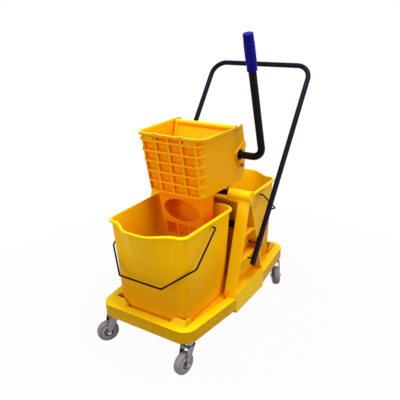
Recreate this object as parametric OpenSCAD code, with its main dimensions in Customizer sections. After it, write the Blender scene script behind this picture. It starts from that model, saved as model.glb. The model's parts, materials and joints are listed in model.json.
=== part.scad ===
// Double mop bucket trolley: two buckets on a wheeled base, with a lever wringer between them.
// Front is -Y, the lever side is +X, up is +Z, and the floor is at Z = 0. All sizes are in millimetres.

/* [Base] */
// Length of the wheeled base
base_l = 710; // [620:5:800]
// Width of the base at its two ends
base_end_w = 350; // [330:2:390]
// Width of the base at its middle
base_mid_w = 409; // [390:1:430]
// Length of the middle section under the side stands
mid_l = 206; // [160:2:240]
// Height of the tray rail's lower edge above the floor
tray_z0 = 111.5; // [108:0.5:125]
// Height of the tray rail's top above the floor
tray_z1 = 154; // [145:1:165]
// Depth of the bucket seat below the rail top
seat_d = 11; // [6:1:16]
// Width of the flat rail round the seat
rail_w = 30; // [20:1:36]
// Radius of the base's end corners
base_corner_r = 46; // [25:1:60]
// Wall of the tray mouldings
tray_t = 4; // [3:0.5:6]
// Thickness of the tray floor
floor_t = 5; // [3:0.5:8]
// Height of the corner locators in the bucket seat
locator_h = 27; // [14:1:32]

/* [Side stands] */
// Height of the stand foot's lower edge above the floor
foot_z0 = 98; // [90:1:106]
// Height of the stand sill above the floor
sill_z = 172; // [160:1:190]
// Height of the upper cross tube's axis
boss_z = 487; // [470:1:520]
// Half depth of the stand at the upper cross tube
stand_top_hd = 7.5; // [5:0.5:12]
// Distance of the stand's inner face from the middle plane
stand_in_x = 160; // [158:0.5:170]
// Distance of the stand's open outer face from the middle plane
stand_out_x = 200; // [190:0.5:203]
// Thickness of the stand's web and walls
stand_t = 5; // [4:0.5:8]
// Wall of the stand windows near the sill
win_wall_low = 7; // [5:0.5:12]
// Wall of the stand windows near the top
win_wall_top = 11; // [8:0.5:16]
// Height of the upper shelf rib
rib_hi_z = 361; // [340:1:380]
// Height of the lower shelf rib
rib_lo_z = 273; // [255:1:290]
// Height of the upper window's top
win_top_z = 457; // [440:1:464]
// Radius of the cross tube boss
boss_r = 17.5; // [15:0.5:22]
// Distance of the boss's inner end from the middle plane
boss_in_x = 121; // [116:1:140]
// Length of the foot's inner flange on the tray floor
flange_w = 34; // [26:1:40]
// Half length of the foot's inner flange
flange_hl = 36; // [28:1:42]

/* [Cross tubes] */
// Diameter of the upper cross tube
up_tube_d = 20; // [16:0.5:24]
// Diameter of the lower cross tube
low_tube_d = 25; // [20:0.5:30]
// Height of the lower cross tube's axis
low_tube_z = 374; // [355:1:400]
// Wall of the steel tubes
tube_wall = 1.5; // [1:0.25:2.5]

/* [Push handle] */
// Diameter of the push handle tube
handle_d = 19; // [14:0.5:22]
// Rear distance of a handle leg's lower end from the stand middle
handle_low_y = 4; // [0:1:20]
// Height of a handle leg's lower end
handle_low_z = 238; // [225:1:260]
// Rear distance of the handle's cross bar from the stand middle
handle_top_y = 463; // [380:1:520]
// Height of the handle's cross bar
handle_top_z = 859; // [780:1:940]
// Bend radius of the handle's corners
handle_bend = 55; // [35:1:80]
// Distance of the lower handle bolt from the leg's end
bolt_lo_s = 18; // [14:1:30]
// Distance of the upper handle bolt from the leg's end
bolt_hi_s = 74; // [60:1:75]
// Diameter of the handle bolts
handle_bolt_d = 6; // [5:0.5:8]

/* [Buckets] */
// Height of the bucket rim above the floor
rim_z = 452; // [420:1:480]
// Distance of the rim's near edge from the stand middle
rim_near_y = 19; // [18.5:0.5:30]
// Distance of the rim's far edge from the stand middle
rim_far_y = 322; // [300:1:340]
// Half width of the rim near the stands
rim_near_hw = 156; // [140:0.5:157]
// Half width of the rim at the far end
rim_far_hw = 151; // [135:0.5:157]
// Inward lean of the side walls from rim to floor
side_lean = 11; // [6:1:16]
// Inward lean of the far wall from rim to floor
far_lean = 9; // [4:1:20]
// Inward lean of the near wall from rim to floor
near_lean = 24; // [16:1:32]
// Corner radius of the bucket's body
bucket_r = 36; // [35:1:44]
// Far corner radius of the bucket's rim
rim_corner_r = 21; // [16:1:30]
// Wall of the bucket
bucket_t = 3; // [2.5:0.25:5]
// Outward width of the rolled rim
rim_w = 6; // [3:0.5:8]
// Height of the rolled rim
rim_h = 11; // [6:0.5:14]
// Forward reach of the pouring lip
lip_reach = 46; // [0:1:60]
// Height of the wall above the lip's root
lip_h = 160; // [60:1:190]

/* [Bucket bails] */
// Diameter of the bail wire
wire_d = 6; // [4:0.25:7]
// Distance of the bail pivot from the stand middle
pivot_y = 167; // [150:1:180]
// Depth of the bail pivot below the bucket rim
pivot_drop = 19; // [16:0.5:32]
// Half width of the bail's arms
bail_hw = 165; // [163:0.5:175]
// Distance from the pivot to the bail's corner
bail_arm = 146; // [120:1:156]
// Distance from the pivot to the bail's cross bar
bail_reach = 237; // [225:1:250]
// Half length of the bail's cross bar
bail_bar_hw = 82; // [50:1:90]
// Angle of the hanging bail below level
bail_drop = 39; // [30:0.5:39.5]
// Radius of the bail ear
ear_r = 6.5; // [6:0.25:9]
// Length of the bail ear outside the wall
ear_l = 5; // [4:0.5:8]

/* [Wringer] */
// Height of the hopper's lower edge
hop_z0 = 505; // [503:0.5:509]
// Height of the hopper rim
hop_z1 = 708; // [690:1:730]
// Half width of the hopper at the cross tube
hop_hw = 110; // [104:1:114]
// Widening of a hopper side per millimetre of height
hop_flare = 0.096; // [0.06:0.002:0.12]
// Widening of a hopper side per millimetre to the rear
hop_plan = 0.05; // [0:0.005:0.06]
// Front of the hopper at its lower edge
hop_front_low = 145; // [138:1:150]
// Front of the hopper at its rim
hop_front_top = 172; // [160:1:180]
// Wall of the hopper
hop_t = 4; // [3:0.5:6]
// Front corner radius of the hopper
hop_r = 26; // [15:1:32]
// Rear corner radius of the hopper
hop_rear_r = 8; // [7:0.5:20]
// Rear corner radius of the hopper at its lower edge
hop_rear_low_r = 8; // [7:0.5:12]
// Outward width of the hopper rim
hop_rim_w = 9; // [4:0.5:10]
// Height of the hopper rim
hop_rim_h = 8; // [3:0.5:9]
// Spacing of the rib columns on the front wall
rib_pitch = 49; // [40:0.5:50]
// Relief of the ribs on the front wall
rib_d = 8; // [4:0.5:10]
// Width of the ribs on the front wall
rib_w = 7; // [5:0.5:9]
// Lower end of the skirt
skirt_z0 = 322; // [310:1:360]
// Half width of the skirt at the hopper
skirt_hw = 88; // [80:1:96]
// Half width of the skirt at its lower end
skirt_low_hw = 86; // [76:1:92]
// Front of the skirt at the hopper
skirt_front = 128; // [116:1:132]
// Front of the skirt at its lower end
skirt_low_front = 100; // [92:1:110]
// Wall of the skirt
skirt_t = 3.5; // [3:0.5:5]

/* [Press and lever] */
// Rear distance of the lever shaft from the stand middle
shaft_y = 48.8; // [46:0.2:52]
// Height of the lever shaft
shaft_z = 609.7; // [606:0.2:614]
// Diameter of the lever tube
lever_d = 24; // [20:0.5:26]
// Distance of the lever's upright from the middle plane
lever_x = 215; // [212:0.5:230]
// Bend radius of the lever
lever_bend = 38; // [30:1:48]
// Forward lean of the lever at rest
lever_lean = 16.6; // [10:0.1:25]
// Length of the lever from its shaft to the grip's end
lever_l = 409; // [360:1:440]
// Length of the grip
grip_l = 110; // [90:1:140]
// Diameter of the grip
grip_d = 31; // [27.5:0.5:34]
// Forward distance of the press plate's hinge from the stand middle
hinge_y = 50; // [48:0.5:52]
// Height of the press plate's hinge
hinge_z = 521; // [519:0.5:523]
// Backward lean of the press plate at rest
plate_lean = 28.1; // [27:0.1:29]
// Length of the press plate from hinge to top bar
plate_l = 199.5; // [185:0.5:202]
// Thickness of the press plate
plate_t = 8; // [6:0.5:10]
// Length of the cranks on the lever shaft
crank_l = 42; // [41:0.25:43]
// Angle of the cranks behind straight down at rest
crank_a = 8; // [6:0.5:10]
// Diameter of the crank pins
crank_pin_d = 10; // [8:0.5:11]

/* [Casters] */
// Wheel diameter
wheel_d = 75; // [65:1:80]
// Tyre width
tyre_w = 24; // [20:1:28]
// Distance of the swivel axes from the middle plane
caster_x = 154; // [146:1:158]
// Distance of the swivel axes from the stand middle
caster_y = 319; // [300:1:322]
// Trail of the wheels behind the swivel axes
trail = 27; // [22:0.5:32]
// Rest direction of the front left caster
caster_fl_a = 238; // [0:1:360]
// Rest direction of the front right caster
caster_fr_a = 263; // [0:1:360]
// Rest direction of the rear left caster
caster_rl_a = 281; // [0:1:360]
// Rest direction of the rear right caster
caster_rr_a = 307; // [0:1:360]

/* [Fits] */
// Clearance between pieces that move past each other
gap = 0.4; // [0.3:0.05:0.8]
// Radial clearance of shafts that turn in their holes
run = 0.05; // [0.02:0.01:0.1]
// Radial clearance of fixed tubes and bolts in their holes
seat = 0.02; // [0.01:0.01:0.05]

/* [Hidden] */
$fn = 64;
arc_n = 7;
lip_n = 16;
over = 1;

half_l = base_l / 2;
end_hw = base_end_w / 2;
mid_hw = base_mid_w / 2;
mid_hl = mid_l / 2;
foot_step = 2;
notch_hw = stand_in_x - foot_step;
seat_z = tray_z1 - seat_d;
floor_z = seat_z - floor_t;
up_tube_r = up_tube_d / 2;
low_tube_r = low_tube_d / 2;
handle_r = handle_d / 2;
handle_x = stand_out_x + handle_r;
handle_lean = atan2(handle_top_y - handle_low_y, handle_top_z - handle_low_z);
handle_len = norm([handle_top_y - handle_low_y, handle_top_z - handle_low_z]);
wire_r = wire_d / 2;
pivot_z = rim_z - pivot_drop;
lever_r = lever_d / 2;
grip_r = grip_d / 2;
wheel_r = wheel_d / 2;
rod_r = 5;
pin_r = crank_pin_d / 2;
bush_t = 4;
bush_r = lever_r + bush_t;

// Casters as name, side, end and direction
caster_fl = [-1, -1, caster_fl_a];
caster_fr = [1, -1, caster_fr_a];
caster_rl = [-1, 1, caster_rl_a];
caster_rr = [1, 1, caster_rr_a];
casters = [caster_fl, caster_fr, caster_rl, caster_rr];

// Middle of the whole object, so that the origin is the middle of its footprint
tyre_chamfer = 4;
tyre_crown = 1.2;
tyre_hw = tyre_w / 2;
tyre_half = [[wheel_r - tyre_chamfer, tyre_hw], [wheel_r - tyre_crown, tyre_hw - 0.7 * tyre_chamfer],
    [wheel_r, tyre_hw - 1.6 * tyre_chamfer]];
function wheel_front(a) =
    caster_y - trail * sin(a) + max([for (p = tyre_half) p[0] * abs(sin(a)) + p[1] * abs(cos(a))]);
object_front = max(half_l, wheel_front(caster_fl_a), wheel_front(caster_fr_a));
mid_y = (handle_top_y + handle_r - object_front) / 2;
knurl_step = 1.2;
knurl_r = grip_r + knurl_step;
bolt_head_h = 3;
mid_x = (lever_x + knurl_r - handle_x - handle_r - bolt_head_h) / 2;

module place() {
    translate([-mid_x, -mid_y, 0])
        children();
}

// Points of an outline with rounded corners, from [x, y, radius] corners in anticlockwise order
function unit(v) = v / norm(v);
function corner_arc(p, c, q, n) =
    let (u = unit([p[0] - c[0], p[1] - c[1]]), v = unit([q[0] - c[0], q[1] - c[1]]))
    let (half = acos(u * v) / 2, r = c[2])
    let (mid = [c[0], c[1]] + unit(u + v) * r / sin(half))
    let (t = [c[0], c[1]] + u * r / tan(half))
    let (a0 = atan2(t[1] - mid[1], t[0] - mid[0]), sweep = 180 - 2 * half)
    [for (i = [0 : n]) mid + r * [cos(a0 + sweep * i / n), sin(a0 + sweep * i / n)]];
function rounded(c) =
    let (n = len(c))
    [for (i = [0 : n - 1]) each corner_arc(c[(i + n - 1) % n], c[i], c[(i + 1) % n], arc_n)];
function lifted(pts, z) = [for (p = pts) [p[0], p[1], z]];

// Sides between rings of points; the caps close the first and the last ring
function ring_sides(n, a, b) =
    [for (i = [0 : n - 1]) each [
        [a * n + i, b * n + i, b * n + (i + 1) % n],
        [a * n + i, b * n + (i + 1) % n, a * n + (i + 1) % n]]];
module skin(rings) {
    n = len(rings[0]);
    m = len(rings);
    sides = [for (j = [0 : m - 2]) each ring_sides(n, j, j + 1)];
    caps = [[for (i = [0 : n - 1]) i], [for (i = [0 : n - 1]) m * n - 1 - i]];
    polyhedron([for (r = rings) each r], concat(sides, caps));
}
module sleeve(rings) {
    n = len(rings[0]);
    m = len(rings);
    sides = [for (j = [0 : m - 1]) each ring_sides(n, j, (j + 1) % m)];
    polyhedron([for (r = rings) each r], sides);
}

// Round bar through flat points in the XY plane, with one bend radius for each inner point
function turn(a, b, c) =
    let (u = unit(b - a), v = unit(c - b))
    atan2(u[0] * v[1] - u[1] * v[0], u * v);
function bend_len(pts, bends, i) =
    i == 0 || i == len(pts) - 1 ? 0 : bends[i - 1] * tan(abs(turn(pts[i - 1], pts[i], pts[i + 1])) / 2);
module bent_bar(pts, bends, r) {
    n = len(pts);
    for (i = [0 : n - 2]) {
        d = pts[i + 1] - pts[i];
        translate(pts[i])
            rotate(atan2(d[1], d[0]))
                translate([bend_len(pts, bends, i), 0, 0])
                    rotate([0, 90, 0])
                        cylinder(r = r, h = norm(d) - bend_len(pts, bends, i) - bend_len(pts, bends, i + 1));
    }
    for (i = [1 : n - 2]) {
        u = unit(pts[i] - pts[i - 1]);
        a = turn(pts[i - 1], pts[i], pts[i + 1]);
        start = pts[i] - u * bend_len(pts, bends, i);
        mid = start + bends[i - 1] * sign(a) * [-u[1], u[0]];
        first = atan2(start[1] - mid[1], start[0] - mid[0]);
        translate(mid)
            rotate(a > 0 ? first : first + a)
                rotate_extrude(angle = abs(a))
                    translate([bends[i - 1], 0])
                        circle(r = r);
    }
}
module along_x(x0, x1, y, z, r) {
    translate([x0, y, z])
        rotate([0, 90, 0])
            cylinder(r = r, h = x1 - x0);
}
module hex_x(x0, x1, y, z, r) {
    translate([x0, y, z])
        rotate([0, 90, 0])
            cylinder(r = r, h = x1 - x0, $fn = 6);
}
module both_sides() {
    children();
    mirror([1, 0, 0])
        children();
}
module turned_round() {
    rotate(180)
        children();
}

// Trays
screw_x = notch_hw - flange_w / 2;
screw_y = 18;
screw_r = 3;
screw_head_h = 3.5;
screw_tip = 6;
flange_t = 4;
stem_r = 5;
stem_top_z = floor_z - 1;
socket_r = 14;
tray_rib_t = 4;
tray_rib_z0 = tray_z0 + 5;
tray_rib_x = [-0.6, -0.2, 0.2, 0.6];
tray_rib_y = [for (f = [0.05, 0.36, 0.68]) mid_hl + tray_t + f * (half_l - mid_hl - tray_t)];

function tray_side_hw(y, d) = end_hw - d + (mid_hw - end_hw) * (half_l - d - y) / (half_l - mid_hl);
function tray_end(d) =
    let (x = end_hw - d, y = d - half_l, r = base_corner_r - d / 2, mid = mid_hw - d)
    concat(
        corner_arc([-mid, -mid_hl], [-x, y, r], [x, y], arc_n),
        corner_arc([-x, y], [x, y, r], [mid, -mid_hl], arc_n));
function tray_outline(d) =
    let (e = min(d, tray_t), x = notch_hw - e, y = -mid_hl - e)
    concat(tray_end(d), [[mid_hw - d, y], [x, y], [x, -e], [-x, -e], [-x, y], [d - mid_hw, y]]);
function seat_outline() =
    let (d = rail_w, x = notch_hw + tray_t, y = -mid_hl - tray_t)
    concat(tray_end(d), [[mid_hw - d, y], [x, y], [x, tray_t], [-x, tray_t], [-x, y], [d - mid_hw, y]]);

bucket_floor_far = rim_far_y - rim_w - far_lean;
bucket_floor_hw = rim_far_hw - rim_w - side_lean;
locator_t = 4;
locator_l = 52;
locator_side_l = 34;
locator_slope = 14;
locator_off = 6;

// Corner locator: a wedge along the far rail and one along the side rail
function locator_ring(x0, x1, y0, y1, z) = [[x0, y0, z], [x1, y0, z], [x1, y1, z], [x0, y1, z]];
module locator() {
    x = bucket_floor_hw + locator_off;
    y = -bucket_floor_far - locator_off;
    rail_x = tray_side_hw(bucket_floor_far, rail_w) + over;
    rail_y = rail_w - half_l - over;
    z1 = seat_z + locator_h;
    foot_levels = [seat_z - over, min(tray_z1, z1 - over)];
    end_x = x - locator_l;
    end_y = y + locator_side_l;
    skin(concat(
        [for (z = foot_levels) locator_ring(end_x, rail_x, rail_y, y, z)],
        [locator_ring(end_x + locator_slope, x + locator_t, y - locator_t, y, z1)]));
    skin(concat(
        [for (z = foot_levels) locator_ring(x, rail_x, rail_y, end_y, z)],
        [locator_ring(x, x + locator_t, y - locator_t, end_y - locator_slope, z1)]));
}
module tray_half() {
    rib_h = floor_z - tray_rib_z0 + over;
    difference() {
        union() {
            difference() {
                translate([0, 0, tray_z0])
                    linear_extrude(tray_z1 - tray_z0)
                        polygon(tray_outline(0));
                translate([0, 0, seat_z])
                    linear_extrude(2 * seat_d)
                        polygon(seat_outline());
                translate([0, 0, tray_z0 - over])
                    linear_extrude(floor_z - tray_z0 + over)
                        polygon(tray_outline(tray_t));
                translate([0, 0, floor_z - over])
                    linear_extrude(tray_z1 - tray_t - floor_z + over)
                        difference() {
                            polygon(tray_outline(tray_t));
                            polygon(seat_outline());
                            translate([0, tray_t - mid_hl])
                                square([2 * mid_hw, 4 * tray_t], center = true);
                        }
            }
            for (f = tray_rib_x)
                translate([f * end_hw - tray_rib_t / 2, tray_t / 2 - half_l, tray_rib_z0])
                    cube([tray_rib_t, half_l - tray_t, rib_h]);
            for (y = tray_rib_y)
                translate([tray_t / 2 - tray_side_hw(y, 0), -y, tray_rib_z0])
                    cube([2 * tray_side_hw(y, 0) - tray_t, tray_rib_t, rib_h]);
            for (s = [-1, 1])
                translate([s * caster_x, -caster_y, tray_z0])
                    cylinder(r = socket_r, h = floor_z - tray_z0 + over);
            both_sides()
                locator();
        }
        for (s = [-1, 1]) {
            translate([s * caster_x, -caster_y, tray_z0 - over])
                cylinder(r = stem_r + seat, h = stem_top_z - tray_z0 + over);
            translate([s * screw_x, -screw_y, tray_z0])
                cylinder(r = screw_r + seat, h = seat_z);
        }
    }
}
module front_tray() {
    color("gold")
        tray_half();
}
module rear_tray() {
    color("gold")
        turned_round()
            tray_half();
}
module frame_screws() {
    color("dimgray")
        for (x = [-screw_x, screw_x], y = [-screw_y, screw_y])
            translate([x, y, 0]) {
                translate([0, 0, floor_z - screw_tip])
                    cylinder(r = screw_r, h = seat_z + flange_t - floor_z + screw_tip + over);
                translate([0, 0, seat_z + flange_t])
                    cylinder(r = 2 * screw_r, h = screw_head_h);
            }
}

// Side stands
function stand_hd(z) = stand_top_hd + (mid_hl - stand_top_hd) * (boss_z - z) / (boss_z - sill_z);
function win_wall(z) = win_wall_low + (win_wall_top - win_wall_low) * (z - sill_z) / (win_top_z - sill_z);
function win_hd(z) = stand_hd(z) - win_wall(z);
web_x = stand_in_x + stand_t;
foot_w = mid_hw - notch_hw;
foot_ribs = [-0.34, 0.34];
bolt_boss_r = 10;
bolt_boss_h = 5;
bolt_r = handle_bolt_d / 2;
bolt_lo = [handle_low_y, handle_low_z] + bolt_lo_s * [sin(handle_lean), cos(handle_lean)];
bolt_hi = [handle_low_y, handle_low_z] + bolt_hi_s * [sin(handle_lean), cos(handle_lean)];
boss_bore_end = stand_out_x - stand_t;

module along_x_profile(x0, x1) {
    translate([x0, 0, 0])
        rotate([90, 0, 90])
            linear_extrude(x1 - x0)
                children();
}
module window(z0, z1) {
    along_x_profile(web_x, stand_out_x + over)
        polygon([[-win_hd(z0), z0], [win_hd(z0), z0], [win_hd(z1), z1], [-win_hd(z1), z1]]);
}
module stand() {
    rib_half = stand_t / 2;
    difference() {
        union() {
            difference() {
                union() {
                    along_x_profile(stand_in_x, stand_out_x)
                        polygon([[-mid_hl, sill_z - over], [mid_hl, sill_z - over], [mid_hl, sill_z],
                            [stand_top_hd, boss_z], [-stand_top_hd, boss_z], [-mid_hl, sill_z]]);
                    translate([notch_hw, -mid_hl, foot_z0])
                        cube([foot_w, mid_l, sill_z - foot_z0]);
                }
                translate([notch_hw + tray_t, tray_t - mid_hl, foot_z0 - over])
                    cube([foot_w - 2 * tray_t, mid_l - 2 * tray_t, sill_z - tray_t - foot_z0 + over]);
                window(sill_z + tray_t, rib_lo_z - rib_half);
                window(rib_lo_z + rib_half, rib_hi_z - rib_half);
                window(rib_hi_z + rib_half, win_top_z);
            }
            for (f = foot_ribs)
                translate([notch_hw + over, f * mid_hl - stand_t / 2, foot_z0 + over])
                    cube([foot_w - 2 * over, stand_t, sill_z - foot_z0 - 2 * over]);
            translate([notch_hw - flange_w, -flange_hl, seat_z])
                cube([flange_w + over, 2 * flange_hl, flange_t]);
            along_x(boss_in_x, stand_out_x, 0, boss_z, boss_r);
            for (b = [bolt_lo, bolt_hi])
                along_x(web_x - over, web_x + bolt_boss_h, b[0], b[1], bolt_boss_r);
        }
        along_x(boss_in_x - over, boss_bore_end, 0, boss_z, up_tube_r + seat);
        along_x(stand_in_x - over, web_x + over, 0, low_tube_z, low_tube_r + seat);
        for (b = [bolt_lo, bolt_hi])
            along_x(stand_in_x - over, web_x + bolt_boss_h + over, b[0], b[1], bolt_r + seat);
        for (y = [-screw_y, screw_y])
            translate([screw_x, y, seat_z - over])
                cylinder(r = screw_r + seat, h = flange_t + 2 * over);
    }
}
module side_stand_right() {
    color("gold")
        stand();
}
module side_stand_left() {
    color("gold")
        mirror([1, 0, 0])
            stand();
}
boss_cap_t = 4.5;
boss_cap_r = boss_r + 1.5;
module boss_caps() {
    color("goldenrod")
        both_sides()
            along_x(stand_out_x, stand_out_x + boss_cap_t, 0, boss_z, boss_cap_r);
}

// Cross tubes
module cross_tube(half, z, r) {
    difference() {
        along_x(-half, half, 0, z, r);
        along_x(-half - over, half + over, 0, z, r - tube_wall);
    }
}
module upper_cross_tube() {
    color("black")
        cross_tube(boss_bore_end, boss_z, up_tube_r);
}
module lower_cross_tube() {
    color("black")
        cross_tube(web_x, low_tube_z, low_tube_r);
}

// Push handle
handle_pts = [[handle_x, 0], [handle_x, handle_len], [-handle_x, handle_len], [-handle_x, 0]];
module on_handle() {
    translate([0, handle_low_y, handle_low_z])
        rotate([90 - handle_lean, 0, 0])
            children();
}
module push_handle() {
    color("black")
        difference() {
            on_handle()
                difference() {
                    bent_bar(handle_pts, [handle_bend, handle_bend], handle_r);
                    bent_bar(handle_pts, [handle_bend, handle_bend], handle_r - tube_wall);
                }
            for (b = [bolt_lo, bolt_hi])
                along_x(-handle_x - handle_d, handle_x + handle_d, b[0], b[1], bolt_r + seat);
        }
}
nut_h = 5;
nut_r = bolt_r * 2;
module handle_bolts() {
    color("dimgray")
        both_sides()
            for (b = [bolt_lo, bolt_hi]) {
                along_x(stand_in_x, handle_x + handle_r, b[0], b[1], bolt_r);
                along_x(handle_x + handle_r, handle_x + handle_r + bolt_head_h, b[0], b[1], nut_r);
            }
}
module handle_nuts() {
    color("dimgray")
        both_sides()
            for (b = [bolt_lo, bolt_hi])
                difference() {
                    hex_x(web_x + bolt_boss_h, web_x + bolt_boss_h + nut_h, b[0], b[1], nut_r);
                    along_x(web_x, web_x + 2 * bolt_boss_h + nut_h, b[0], b[1], bolt_r + seat);
                }
}
plug_h = 8;
plug_lip = 3;
module handle_plugs() {
    color("black")
        on_handle()
            for (s = [-1, 1])
                translate([s * handle_x, 0, 0])
                    rotate([-90, 0, 0]) {
                        cylinder(r = handle_r - tube_wall - seat, h = plug_h);
                        translate([0, 0, -plug_lip])
                            cylinder(r = handle_r, h = plug_lip);
                    }
}

// Buckets, drawn at the front; the rear bucket is the same moulding turned round
function rim_share(z) = (rim_z - z) / (rim_z - seat_z);
function lip_rise(z) = max(0, 1 - (rim_z - z) / lip_h);
lip_power = 1.2;
function lip_share(z) = pow(lip_rise(z), lip_power);
lip_flat = 0.2;
lip_end = 0.87;
function lip_bump(s) = 0.5 - 0.5 * cos(180 * max(0, min(1, (lip_end - abs(s)) / (lip_end - lip_flat))));
function bucket_ring(z, grow) =
    let (k = rim_share(z), far_hw = rim_far_hw - rim_w + grow - side_lean * k)
    let (near_hw = rim_near_hw - rim_w + grow - side_lean * k)
    let (y0 = -(rim_far_y - rim_w + grow - far_lean * k), y1 = -(rim_near_y + rim_w - grow + near_lean * k))
    let (near_r = bucket_r + min(grow, 0), r = near_r + (rim_corner_r - bucket_r) * lip_rise(z))
    let (a = corner_arc([-near_hw, y1], [-far_hw, y0, r], [far_hw, y0], arc_n))
    let (b = corner_arc([-far_hw, y0], [far_hw, y0, r], [near_hw, y1], arc_n))
    let (x0 = a[arc_n][0], x1 = b[0][0])
    let (lip = [for (i = [1 : lip_n - 1]) let (t = i / lip_n, s = 2 * t - 1)
        [x0 + (x1 - x0) * t, y0 - lip_reach * lip_share(z) * lip_bump(s)]])
    lifted(concat(a, lip, b,
        corner_arc([far_hw, y0], [near_hw, y1, near_r], [-near_hw, y1], arc_n),
        corner_arc([near_hw, y1], [-near_hw, y1, near_r], [-far_hw, y0], arc_n)), z);
bucket_floor_t = 4;
rim_roll = rim_h / 4;
lip_steps = [0.4, 0.7];
lip_root_z = rim_z - lip_h;
function lip_z(i) = lip_root_z + lip_h * lip_steps[i];
function wall_x(z) = rim_near_hw - rim_w - side_lean * rim_share(z)
    - (rim_near_hw - rim_far_hw) * (pivot_y - rim_near_y) / (rim_far_y - rim_near_y);
ear_x = wall_x(pivot_z) + ear_l;
ear_root_x = wall_x(pivot_z) - bucket_t / 2;
hook_x = wall_x(pivot_z);

module bucket() {
    difference() {
        union() {
            skin([
                bucket_ring(seat_z, 0),
                bucket_ring(lip_root_z, 0),
                bucket_ring(lip_z(0), 0),
                bucket_ring(lip_z(1), 0),
                bucket_ring(rim_z - rim_h, 0),
                bucket_ring(rim_z - rim_h, rim_w),
                bucket_ring(rim_z - rim_roll, rim_w),
                bucket_ring(rim_z, rim_w - rim_roll),
                bucket_ring(rim_z, -bucket_t),
                bucket_ring(lip_z(1), -bucket_t),
                bucket_ring(lip_z(0), -bucket_t),
                bucket_ring(lip_root_z, -bucket_t),
                bucket_ring(seat_z + bucket_floor_t, -bucket_t)]);
            both_sides()
                along_x(ear_root_x, ear_x, -pivot_y, pivot_z, ear_r);
        }
        both_sides()
            along_x(hook_x - gap, ear_x + over, -pivot_y, pivot_z, wire_r + run);
    }
}
bail_bend = 9;
hook_bend = 4.5;
bend_n = 5;
wire_n = 16;
bail_corners = [[hook_x + over, 0, 0], [bail_hw, 0, hook_bend], [bail_hw, bail_arm, bail_bend],
    [bail_bar_hw, bail_reach, bail_bend], [-bail_bar_hw, bail_reach, bail_bend],
    [-bail_hw, bail_arm, bail_bend], [-bail_hw, 0, hook_bend], [-hook_x - over, 0, 0]];
function bail_arc(i) = corner_arc(bail_corners[i - 1], bail_corners[i], bail_corners[i + 1], bend_n);
bail_path = concat(
    [[hook_x + over, 0]],
    [for (i = [1 : len(bail_corners) - 2]) each bail_arc(i)],
    [[-hook_x - over, 0]]);
function wire_ring(i, r) =
    let (n = len(bail_path), t = unit(bail_path[min(i + 1, n - 1)] - bail_path[max(i - 1, 0)]))
    [for (j = [0 : wire_n - 1]) let (a = 360 * j / wire_n)
        [bail_path[i][0] - t[1] * r * cos(a), bail_path[i][1] + t[0] * r * cos(a), r * sin(a)]];
module bail() {
    translate([0, -pivot_y, pivot_z])
        rotate([180 + bail_drop, 0, 0]) {
            skin([for (i = [0 : len(bail_path) - 1]) wire_ring(i, wire_r - seat)]);
            both_sides()
                along_x(hook_x, bail_hw - hook_bend, 0, 0, wire_r);
        }
}
module front_bucket() {
    color("gold")
        bucket();
}
module rear_bucket() {
    color("gold")
        turned_round()
            bucket();
}
module front_bail() {
    color("black")
        bail();
}
module rear_bail() {
    color("black")
        turned_round()
            bail();
}

// Wringer hopper
hop_rise = 23;
rear_line = [[hop_z0, 106], [hop_z0 + 45, 115], [hop_z0 + 88, 110], [hop_z0 + 125, 102], [hop_z1, 70]];
function hop_x(y, z) = hop_hw + hop_flare * (z - boss_z - hop_rise) + hop_plan * y;
function hop_front(z) = -hop_front_low - (hop_front_top - hop_front_low) * (z - hop_z0) / (hop_z1 - hop_z0);
function hop_back_r(z) =
    hop_rear_low_r + (hop_rear_r - hop_rear_low_r) * min(1, (z - hop_z0) / (rear_line[2][0] - hop_z0));
function hop_ring(z, inset, back) =
    let (y0 = hop_front(z) + inset, y1 = lookup(z, rear_line) - back)
    let (w0 = hop_x(y0, z) - inset, w1 = hop_x(y1, z) - back, r1 = hop_back_r(z) - back)
    lifted(rounded([[-w0, y0, hop_r - inset], [w0, y0, hop_r - inset], [w1, y1, r1], [-w1, y1, r1]]), z);
hop_levels = [for (i = [0 : 3]) rear_line[i][0]];
hop_rim_z = hop_z1 - hop_rim_h;
hop_rim_end = 1;
hop_ease = 8;
hop_floor_t = 4;
rib_rows = 6;
rib_cols = 5;
column_n = 6;
rib_top_z = hop_z1 - 24;
rib_low_z = hop_z0 + 6;
rib_tip = 14;
rib_back = 60;
rib_end_r = 2;
rib_root = 1;
rib_corner = 3;
bearing_r = bush_r + 4;
bearing_out = 131;
bearing_in = 106;
bearing_cut = 20;
boss_step = 3;
stop_r = 3.5;
stop_boss_r = 2 * stop_r;
crank_hub_r = lever_r + 5;
crank_hw = 8;
crank_end_r = 9;
stop_y = shaft_y + crank_l * sin(crank_a) + crank_end_r + stop_r + gap;
stop_z = shaft_z - crank_l * cos(crank_a);
pad_x = 1.5 * rib_pitch + 2;
pad_z = rib_top_z;
pad_w = 35;
pad_h = 14;
pad_d = rib_d - 1;
nib_x = rib_pitch;
nib_w = 12;
nib_h = 3;
boss_mid = [shaft_y, shaft_z];
stop_mid = [stop_y, stop_z];
boss_side = unit([shaft_z - stop_z, stop_y - shaft_y]);
web_side = (bearing_r - 1.5) * boss_side;
stop_side = (stop_boss_r - over) * boss_side;
brace_rise = [18, 42];
brace_in = 5;
function brace_end(i) =
    let (z = shaft_z + brace_rise[i])
    [lookup(z, rear_line) - brace_in, z];
rod_half = hop_x(-hinge_y, hinge_z) - 1.5;
hook_t = 7;
hook_tail_y = 34;
hook_root_y = 46;
hook_top_z = hop_z0 + 3;
hook_play = 2;
saddle_x = 60;
saddle_w = 20;
saddle_hd = 17.5;
saddle_low = 8;
saddle_end = saddle_x + saddle_w + over;
rest_in = 10;
rest_w = 8;
rest_s0 = 60;
rest_s1 = plate_l - 14;
drain_n = 3;
drain_pitch = 24;
drain_w = 10;
drain_l = 48;
drain_y = drain_l / 2 - hop_front_low;
rear_cut = 9;
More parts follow.
